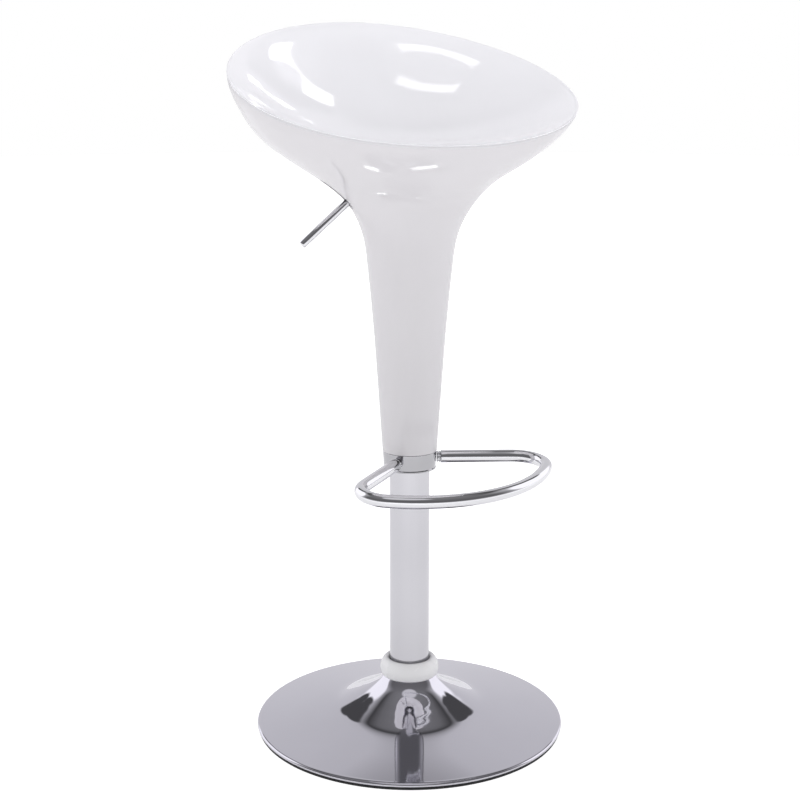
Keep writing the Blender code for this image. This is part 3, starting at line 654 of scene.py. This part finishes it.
LOOP_YAW, LOOP_R, LOOP_Z, LOOP_DROP = 0.25, 8.0, 353.0, -0.056
LOOP_SIDE, LOOP_ROOT, LOOP_ARM = 28.0, 13.0, math.radians(29.0)
CORNER_R, FRONT_R, REACH, COLLAR_R1 = 35.7, 179.4, 165.9, 33.6
side0 = Vector((LOOP_SIDE, LOOP_ROOT))
arm = Vector((math.cos(LOOP_ARM), math.sin(LOOP_ARM)))
across = Vector((-arm.y, arm.x))
front_c = Vector((0, REACH - FRONT_R))
p = side0 + across * CORNER_R - front_c
b = p.dot(arm)
s_len = -b + math.sqrt(b * b - (p.dot(p) - (FRONT_R - CORNER_R) ** 2))
corner = side0 + arm * s_len + across * CORNER_R
a0 = math.atan2(-across.y, -across.x)
v = corner - front_c
a1 = math.atan2(v.y, v.x)
root = math.sqrt(max((COLLAR_R1 + 5.4) ** 2 - side0.dot(across) ** 2, 1.0)) - side0.dot(arm)
half = [side0 + arm * (root + (s_len - root) * i / 12) for i in range(13)]
half += [corner + CORNER_R * Vector((math.cos(a), math.sin(a)))
         for a in [a0 + (a1 - a0) * i / 28 for i in range(1, 29)]]
half += [front_c + FRONT_R * Vector((math.cos(a), math.sin(a)))
         for a in [a1 + (math.pi / 2 - a1) * i / 30 for i in range(1, 31)]]
full = half + [Vector((-q.x, q.y)) for q in reversed(half[:-1])]


def loop_point(q):
    c, s = math.cos(LOOP_YAW), math.sin(LOOP_YAW)
    return Vector((q.x * c + q.y * s, q.x * s - q.y * c, LOOP_Z + LOOP_DROP * (q.y - 30.0)))


path = np.array([loop_point(q)[:] for q in full])
# a bender leaves no sudden change of curvature: ease the path a little
for _ in range(6):
    path[1:-1] = 0.5 * path[1:-1] + 0.25 * (path[2:] + path[:-2])


def sweep(name, pts, radius, segs, mat, body, replaced, cap_round=1.0):
    """Round tube along a polyline with slightly rounded closed ends."""
    pts = np.asarray(pts, float)
    tan = np.gradient(pts, axis=0)
    tan /= np.linalg.norm(tan, axis=1, keepdims=True)
    up = np.array([0.0, 0.0, 1.0])
    rings, radii, centres = [], [], []
    stations = []
    for k in range(5):
        a = math.pi / 2 * k / 4
        stations.append((pts[0] + tan[0] * cap_round * (1 - math.sin(a)),
                         tan[0], radius - cap_round * (1 - math.sin(a))))
    stations = [(pts[0] + tan[0] * cap_round * (1 - math.cos(math.pi / 2 * (k / 4))),
                 tan[0], radius - cap_round * (1 - math.sin(math.pi / 2 * (k / 4))))
                for k in range(5)]
    stations += [(pts[i], tan[i], radius) for i in range(1, len(pts) - 1)]
    stations += [(pts[-1] - tan[-1] * cap_round * (1 - math.cos(math.pi / 2 * (k / 4))),
                  tan[-1], radius - cap_round * (1 - math.sin(math.pi / 2 * (k / 4))))
                 for k in (4, 3, 2, 1, 0)]
    verts, faces = [], []
    for c, t, r_ in stations:
        s = np.cross(up, t)
        s /= np.linalg.norm(s)
        w = np.cross(t, s)
        for i in range(segs):
            a = 2 * math.pi * i / segs
            verts.append(tuple(c + r_ * (math.cos(a) * s + math.sin(a) * w)))
    n = len(stations)
    faces = grid_faces(n, segs)
    faces.append(tuple(range(segs))[::-1])
    faces.append(tuple(range((n - 1) * segs, n * segs)))
    return finish_mesh(name, verts, faces, mat, body, replaced, 50)


sweep("footrest_tube", path, LOOP_R, 32, M_CHROME, "seat", ["footrest_ring"])


def bar_along(name, start, direction, profile, segs, mat, body, replaced, ripple=0.0):
    """Turned piece from a (distance, radius) profile along a direction."""
    d = Vector(direction).normalized()
    q = d.to_track_quat("Z", "Y").to_matrix()
    verts, faces = [], []
    for z, r_ in profile:
        for i in range(segs):
            a = 2 * math.pi * i / segs
            rr = r_ * (1 + ripple * math.cos(12 * a))
            verts.append(tuple(Vector(start) + q @ Vector((rr * math.cos(a), rr * math.sin(a), z))))
    faces = grid_faces(len(profile), segs)
    faces.append(tuple(range(segs))[::-1])
    faces.append(tuple(range((len(profile) - 1) * segs, len(profile) * segs)))
    return finish_mesh(name, verts, faces, mat, body, replaced, 50)


for node, nm, sign in (("footrest_stub_left", "footrest_neck_left", 1),
                       ("footrest_stub_right", "footrest_neck_right", -1)):
    end = loop_point(Vector((sign * half[0].x, half[0].y)))
    nxt = loop_point(Vector((sign * half[1].x, half[1].y)))
    d = (end - nxt).normalized()
    prof = [(0.0, 6.0), (0.2, 6.5), (0.6, 6.8), (1.2, 6.8), (1.6, 6.4), (2.0, 5.9), (2.4, 5.9),
            (2.8, 6.4), (3.2, 6.8), (3.8, 6.8), (4.2, 6.5), (4.4, 6.0)]
    bar_along(nm, end + d * GAP, d, prof, 96, M_CHROME, "seat", [node], 0.035)

PIVOT = Vector((-37.0, 0.0, 711.8))
DOWN = math.radians(39.7)
ALONG = Vector((-math.cos(DOWN), 0, -math.sin(DOWN)))
LR, LL = 4.75, 131.7 - 9.4
prof = [(0.0, LR - 0.6), (0.6, LR)] + [(0.6 + (LL - 2.2) * i / 20, LR) for i in range(1, 21)]
prof += [(LL - 1.6 + 1.6 * math.sin(a), LR - 1.6 + 1.6 * math.cos(a))
         for a in [math.pi / 2 * k / 6 for k in range(1, 7)]]
bar_along("lever_rod", PIVOT + ALONG * 9.4, ALONG, prof, 40, M_CHROME, "lever",
          ["lever_handle"])

# --------------------------------------------------------------------------
# camera, floor and light
# --------------------------------------------------------------------------
PHI, DIST, CAM_H, PITCH = 0.40, 1951.6, 890.16, 0.2325
FOCAL_PX, YAW = 1620.8, math.atan(10.03 / 1620.8)


def from_camera_frame(x, y, z):
    """Camera-aligned axes (right, away, up) to the stool's axes."""
    c, s = math.cos(PHI), math.sin(PHI)
    return Vector((x * c + y * s, -x * s + y * c, z))


cam_data = bpy.data.cameras.new("camera")
cam_data.sensor_width = 36.0
cam_data.lens = FOCAL_PX / 800.0 * 36.0
cam_data.clip_end = 100.0
cam = bpy.data.objects.new("camera", cam_data)
bpy.context.scene.collection.objects.link(cam)
cam.location = AXIS + from_camera_frame(0, -DIST, CAM_H) * MM
look = from_camera_frame(-math.sin(YAW) * math.cos(PITCH),
                         math.cos(YAW) * math.cos(PITCH), -math.sin(PITCH))
cam.rotation_euler = look.to_track_quat("-Z", "Y").to_euler()
bpy.context.scene.camera = cam

bm = bmesh.new()
bmesh.ops.create_circle(bm, cap_ends=True, segments=96, radius=9.0)
me = bpy.data.meshes.new("floor")
bm.to_mesh(me)
bm.free()
floor = bpy.data.objects.new("floor", me)
bpy.context.scene.collection.objects.link(floor)
fm, nt, pb = new_material("floor_paper")
nt.links.new(ramp(nt, noise(nt, 1.3, 3.0, 0.5), [(0.3, (0.90, 0.90, 0.905)), (0.7, (0.92, 0.92, 0.922))]),
             pb.inputs["Base Color"])
pb.inputs["Roughness"].default_value = 0.9
pb.inputs["Specular IOR Level"].default_value = 0.1
pb.inputs["Emission Color"].default_value = (1.0, 1.0, 1.0, 1.0)
ftc = add(nt, "ShaderNodeTexCoord")
flen = add(nt, "ShaderNodeVectorMath", operation="LENGTH")
nt.links.new(ftc.outputs["Object"], flen.inputs[0])
fmr = add(nt, "ShaderNodeMapRange", interpolation_type="SMOOTHSTEP")
fmr.inputs["From Min"].default_value = 0.4
fmr.inputs["From Max"].default_value = 3.0
fmr.inputs["To Min"].default_value = 0.22
fmr.inputs["To Max"].default_value = 0.52
nt.links.new(flen.outputs["Value"], fmr.inputs["Value"])
flp = add(nt, "ShaderNodeLightPath")
fsum = add(nt, "ShaderNodeMath", operation="MULTIPLY_ADD")
nt.links.new(flp.outputs["Is Camera Ray"], fsum.inputs[0])
fsum.inputs[1].default_value = 0.5
nt.links.new(fmr.outputs["Result"], fsum.inputs[2])
nt.links.new(fsum.outputs["Value"], pb.inputs["Emission Strength"])
me.materials.append(fm)


def area(name, at, aim, width, height, radiance, along, glossy=True):
    """Rectangular lamp at a point, facing another, its width along a direction."""
    L = bpy.data.lights.new(name, "AREA")
    L.shape = "RECTANGLE"
    L.size, L.size_y = width, height
    L.energy = radiance * math.pi * width * height
    ob = bpy.data.objects.new(name, L)
    bpy.context.scene.collection.objects.link(ob)
    p = AXIS + from_camera_frame(*at)
    z = (p - (AXIS + from_camera_frame(*aim))).normalized()
    x = from_camera_frame(*along)
    x = (x - z * x.dot(z)).normalized()
    y = z.cross(x)
    ob.matrix_world = Matrix(((x.x, y.x, z.x, p.x), (x.y, y.y, z.y, p.y),
                              (x.z, y.z, z.z, p.z), (0, 0, 0, 1)))
    ob.visible_glossy = glossy
    return ob


def softbox(name, d, seen_from, distance, width, height, radiance, along):
    """A lamp in direction d (camera's right, away, up) from a point on the seat."""
    n = math.sqrt(sum(c * c for c in d))
    at = tuple(c / n * distance + o for c, o in zip(d, seen_from))
    return area(name, at, seen_from, width, height, radiance, along)


def only_on(light, *pieces):
    """Flag a lamp off every piece but these."""
    c = bpy.data.collections.new(light.name + "_on")
    for piece in pieces:
        c.objects.link(piece)
    light.light_linking.receiver_collection = c


top = softbox("softbox_top", (-0.02, -0.13, 0.99), (0.02, 0.09, 0.80), 2.2, 0.86, 0.20, 5.5,
              (-0.93, 0.38, 0))
right = softbox("softbox_right", (0.52, 0.43, 0.72), (-0.15, 0.05, 0.80), 2.4, 0.47, 0.40,
                5.5, (0.4, -0.85, 0.15))
rim_lamp = softbox("softbox_rim", (0.345, 0.81, 0.43), (-0.19, -0.03, 0.80), 2.4, 0.18, 0.10,
                   5.0, (-0.3, 0.5, -0.5))
kick_l = softbox("kicker_left", (-0.149, 0.37, -0.917), (-0.046, -0.095, 0.68), 0.70, 0.07,
                 0.04, 5.5, (1, 0, 0))
kick_r = softbox("kicker_right", (0.155, 0.268, -0.951), (0.016, -0.098, 0.68), 0.68, 0.13,
                 0.045, 5.5, (1, 0, 0))
for lamp in (top, right, rim_lamp):
    only_on(lamp, pan, trunk)
for lamp in (kick_l, kick_r):
    only_on(lamp, trunk)
    lamp.visible_camera = False
area("fill_top", (0, 0.2, 3.2), (0, 0, 0.8), 1.6, 1.6, 4.1, (1, 0, 0), False)
area("fill_front", (0.0, -3.0, 1.0), (0, 0, 0.3), 2.4, 1.5, 2.6, (1, 0, 0), False)
area("fill_left", (-3.0, 0.0, 1.2), (0, 0, 0.5), 2.0, 1.8, 1.2, (0, 1, 0), False)
area("fill_right", (3.0, 0.0, 1.2), (0, 0, 0.5), 2.0, 1.8, 1.2, (0, 1, 0), False)

world = bpy.data.worlds.new("studio")
bpy.context.scene.world = world
world.use_nodes = True
wt = world.node_tree
bg = wt.nodes["Background"]
tc = add(wt, "ShaderNodeTexCoord")
sep = add(wt, "ShaderNodeSeparateXYZ")
wt.links.new(tc.outputs["Generated"], sep.inputs["Vector"])


def grey(v, tint=0.03):
    return (v, v * (1 - tint * 0.3), v * (1 + tint))


# behind the stool a bright sweep rises into a mid-grey wall; the camera's side is a
# dark room above the white floor; the position on each ramp is sin(elevation)
behind = ramp(wt, sep.outputs["Z"], [(0.0, grey(0.76)), (0.30, grey(0.70)), (0.62, grey(0.66)),
                                     (0.70, grey(0.62)), (0.76, grey(0.34)),
                                     (0.81, grey(0.06)), (0.88, grey(0.17)), (0.95, grey(0.21))])
front = ramp(wt, sep.outputs["Z"], [(0.0, grey(0.9)), (0.05, grey(0.5)), (0.12, grey(0.155)),
                                    (0.40, grey(0.13)), (0.80, grey(0.19)), (0.95, grey(0.24))])
away = from_camera_frame(0, 1, 0)


def facing(direction, lo_dot, hi_dot):
    """0 to 1 as a view direction turns from lo_dot to hi_dot against another."""
    dot = add(wt, "ShaderNodeVectorMath", operation="DOT_PRODUCT")
    wt.links.new(tc.outputs["Generated"], dot.inputs[0])
    dot.inputs[1].default_value = direction
    r = add(wt, "ShaderNodeMapRange", interpolation_type="SMOOTHSTEP")
    r.inputs["From Min"].default_value = lo_dot
    r.inputs["From Max"].default_value = hi_dot
    wt.links.new(dot.outputs["Value"], r.inputs["Value"])
    return r.outputs["Result"]


def blend_in(base, fac, colour):
    m = add(wt, "ShaderNodeMix", data_type="RGBA")
    wt.links.new(fac, m.inputs["Factor"])
    wt.links.new(base, m.inputs["A"])
    if isinstance(colour, tuple):
        m.inputs["B"].default_value = (*colour, 1.0)
    else:
        wt.links.new(colour, m.inputs["B"])
    return m.outputs["Result"]


sky = blend_in(front, facing(away, -0.25, 0.35), behind)
for az, el, inner_deg, outer_deg, value in ((-58, 20, 23, 29, 1.25), (58, 18, 23, 29, 1.25),
                                            (180, 68, 13, 19, 0.70),
                                            (-30, 31, 5, 8, 0.08), (-34, 41, 6, 9, 0.08),
                                            (36, 34, 5, 8, 0.08), (39, 43, 6, 9, 0.08)):
    a_, e_ = math.radians(az), math.radians(el)
    d = from_camera_frame(math.sin(a_) * math.cos(e_), math.cos(a_) * math.cos(e_), math.sin(e_))
    sky = blend_in(sky, facing(d, math.cos(math.radians(outer_deg)),
                               math.cos(math.radians(inner_deg))), grey(value))
lp = add(wt, "ShaderNodeLightPath")
mix = add(wt, "ShaderNodeMix", data_type="RGBA")
wt.links.new(lp.outputs["Is Camera Ray"], mix.inputs["Factor"])
wt.links.new(sky, mix.inputs["A"])
mix.inputs["B"].default_value = (1.0, 1.0, 1.0, 1.0)
wt.links.new(mix.outputs["Result"], bg.inputs["Color"])
bg.inputs["Strength"].default_value = 1.0
bpy.context.scene.view_settings.view_transform = "Standard"
